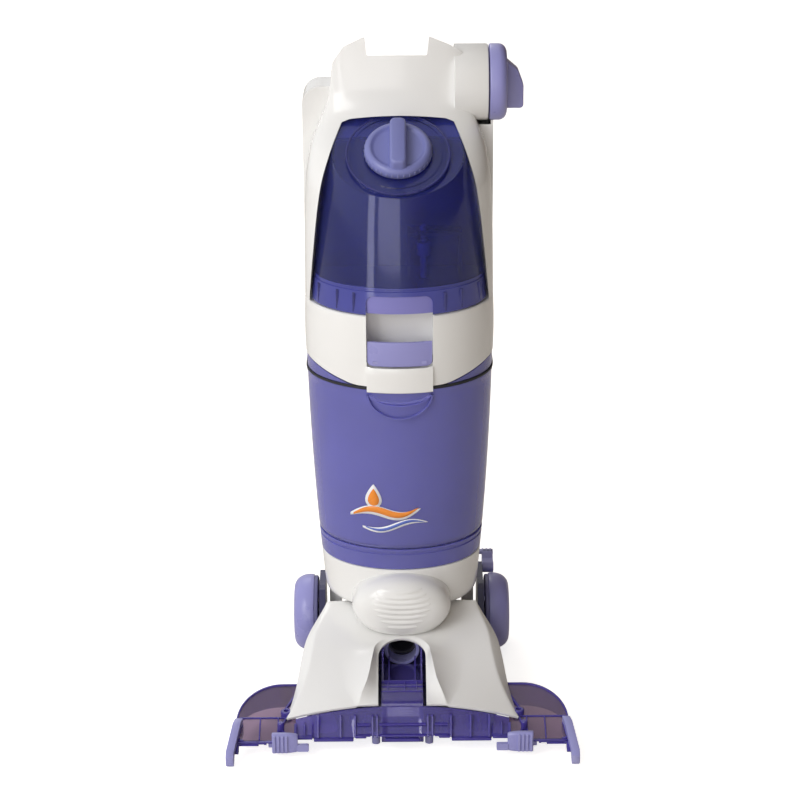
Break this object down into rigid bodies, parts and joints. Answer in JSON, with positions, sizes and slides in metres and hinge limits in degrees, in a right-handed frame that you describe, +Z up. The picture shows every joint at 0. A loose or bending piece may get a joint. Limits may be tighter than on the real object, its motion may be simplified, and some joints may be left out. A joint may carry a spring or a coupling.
{
  "type": "wet dry floor scrubber",
  "caption": "Upright wet and dry floor scrubber without its handle: wheeled brush base, reclining body, lift-out clean-water and recovery tanks.",
  "frame": {"origin": "on the floor, at the middle of the machine's width and depth", "axes": "+Z up along the standing body, -Y to the front where the nozzle is, +X to the machine's mode-knob side, which is on the right when it is seen from the front"},
  "size_m": [0.34, 0.31, 0.656],
  "materials": {
    "shell": "glossy moulded ivory white plastic",
    "clear_dark": "deep violet-blue translucent moulded plastic",
    "clear_light": "lighter violet-blue translucent moulded plastic",
    "clear_nozzle": "violet translucent moulded plastic",
    "trim": "satin lavender moulded plastic",
    "frame": "dark violet chassis plastic",
    "inner": "dark grey inner moulding",
    "rubber": "black rubber",
    "bristle": "nylon gear and tufts",
    "steel": "turned steel",
    "pearl": "pale pinkish moulded plastic"
  },
  "bodies": {
    "base": {"base_frame": "frame", "base_cover": "shell", "clear_nozzle": "clear_nozzle", "suction_channel": "clear_nozzle", "bumper_left": "trim", "bumper_right": "trim", "front_glides": "trim", "brush_block": "frame", "brush_screws": "steel", "brush_motor": "inner", "drive_cover": "pearl", "hose_cuff": "trim", "suction_hose": "inner", "axle": "steel"},
    "wheel_left": {"wheel_left": "trim"},
    "wheel_right": {"wheel_right": "trim"},
    "pedal": {"release_pedal": "trim"},
    "latch_left": {"nozzle_latch_left": "trim"},
    "latch_right": {"nozzle_latch_right": "trim"},
    "brush_1": {"brush_1": "bristle"},
    "brush_2": {"brush_2": "bristle"},
    "brush_3": {"brush_3": "bristle"},
    "brush_4": {"brush_4": "bristle"},
    "brush_5": {"brush_5": "bristle"},
    "brush_pinion": {"brush_pinion": "bristle"},
    "squeegee": {"squeegee_carrier": "frame", "squeegee_blade": "rubber"},
    "body": {"lower_housing": "shell", "front_dome": "shell", "spine_plate": "inner", "mid_housing": "shell", "top_housing": "shell", "rear_shell": "shell", "handle_socket": "inner", "exhaust_grille": "inner", "cord_gland": "rubber", "rear_screws": "steel", "duct_elbow": "inner", "riser_duct": "inner", "air_duct": "inner", "fan_housing": "inner", "suction_motor": "inner", "solution_tube": "inner", "latch_springs": "steel"},
    "impeller": {"impeller": "inner"},
    "mode_knob": {"mode_knob": "trim"},
    "tank_latch": {"tank_latch_button": "trim"},
    "clean_tank": {"clean_tank": "clear_dark", "clean_tank_base": "clear_dark", "valve_cage": "clear_dark", "valve_spring": "steel"},
    "valve_plunger": {"valve_plunger": "trim"},
    "tank_cap": {"tank_cap": "trim"},
    "recovery_tank": {"recovery_tank": "clear_light", "tank_foot": "clear_light", "tank_seal": "rubber", "tank_lid": "clear_light", "float_cage": "clear_light"},
    "float": {"shutoff_float": "pearl"}
  },
  "joints": [
    {"name": "wheel_left_spin", "type": "hinge", "parent": "base", "child": "wheel_left", "pos_m": [0, 0.102, 0.04], "axis": [1, 0, 0], "continuous": true},
    {"name": "wheel_right_spin", "type": "hinge", "parent": "base", "child": "wheel_right", "pos_m": [0, 0.102, 0.04], "axis": [1, 0, 0], "continuous": true},
    {"name": "pedal_press", "type": "hinge", "parent": "base", "child": "pedal", "pos_m": [0.09, 0.134, 0.076], "axis": [-1, 0, 0], "range_deg": [0, 12], "stiffness_Nm_per_rad": 0.6, "springref_deg": -20.05},
    {"name": "latch_left_slide", "type": "slide", "parent": "base", "child": "latch_left", "axis": [-1, 0, 0], "range_m": [0, 0.008]},
    {"name": "latch_right_slide", "type": "slide", "parent": "base", "child": "latch_right", "axis": [1, 0, 0], "range_m": [0, 0.008]},
    {"name": "squeegee_lift", "type": "slide", "parent": "base", "child": "squeegee", "axis": [0, 0, 1], "range_m": [0, 0.007]},
    {"name": "body_recline", "type": "hinge", "parent": "base", "child": "body", "pos_m": [0, 0.102, 0.04], "axis": [-1, 0, 0], "range_deg": [0, 65]},
    {"name": "impeller_spin", "type": "hinge", "parent": "body", "child": "impeller", "pos_m": [0, 0.11, 0.44], "axis": [0, 0, 1], "continuous": true},
    {"name": "knob_turn", "type": "hinge", "parent": "body", "child": "mode_knob", "pos_m": [0.095, 0.113, 0.606], "axis": [1, 0, 0], "range_deg": [0, 90]},
    {"name": "latch_press", "type": "slide", "parent": "body", "child": "tank_latch", "axis": [0, 0, -1], "range_m": [0, 0.0035], "stiffness_N_per_m": 800, "springref_m": -0.002, "deforming": ["latch_springs"]},
    {"name": "clean_tank_slide", "type": "slide", "parent": "body", "child": "clean_tank", "axis": [0, -1, 0], "range_m": [0, 0.13]},
    {"name": "valve_press", "type": "slide", "parent": "clean_tank", "child": "valve_plunger", "axis": [0, 0, 1], "range_m": [0, 0.003], "stiffness_N_per_m": 300, "springref_m": -0.003, "deforming": ["valve_spring"]},
    {"name": "cap_turn", "type": "hinge", "parent": "clean_tank", "child": "tank_cap", "pos_m": [0, 0.04, 0.551], "axis": [0, -0.5736, 0.8192], "range_deg": [0, 90]},
    {"name": "recovery_tank_slide", "type": "slide", "parent": "body", "child": "recovery_tank", "axis": [0, -1, 0], "range_m": [0, 0.2]},
    {"name": "float_rise", "type": "slide", "parent": "recovery_tank", "child": "float", "axis": [0, 0, 1], "range_m": [0, 0.022]},
    {"name": "brush_3_spin", "type": "hinge", "parent": "base", "child": "brush_3", "pos_m": [0, -0.075, 0.021], "axis": [0, 0, 1], "continuous": true},
    {"name": "brush_1_spin", "type": "hinge", "parent": "base", "child": "brush_1", "pos_m": [-0.076, -0.075, 0.021], "axis": [0, 0, 1], "continuous": true},
    {"name": "brush_2_spin", "type": "hinge", "parent": "base", "child": "brush_2", "pos_m": [-0.038, -0.075, 0.021], "axis": [0, 0, 1], "continuous": true},
    {"name": "brush_4_spin", "type": "hinge", "parent": "base", "child": "brush_4", "pos_m": [0.038, -0.075, 0.021], "axis": [0, 0, 1], "continuous": true},
    {"name": "brush_5_spin", "type": "hinge", "parent": "base", "child": "brush_5", "pos_m": [0.076, -0.075, 0.021], "axis": [0, 0, 1], "continuous": true},
    {"name": "pinion_spin", "type": "hinge", "parent": "base", "child": "brush_pinion", "pos_m": [-0.038, -0.044, 0.021], "axis": [0, 0, 1], "continuous": true}
  ],
  "couplings": [
    {"joint": "squeegee_lift", "follows": "knob_turn", "m_per_rad": 0.0044563},
    {"joint": "brush_1_spin", "follows": "brush_3_spin", "ratio": 1},
    {"joint": "brush_2_spin", "follows": "brush_3_spin", "ratio": -1},
    {"joint": "brush_4_spin", "follows": "brush_3_spin", "ratio": -1},
    {"joint": "brush_5_spin", "follows": "brush_3_spin", "ratio": 1},
    {"joint": "pinion_spin", "follows": "brush_3_spin", "ratio": 1.5833}
  ]
}
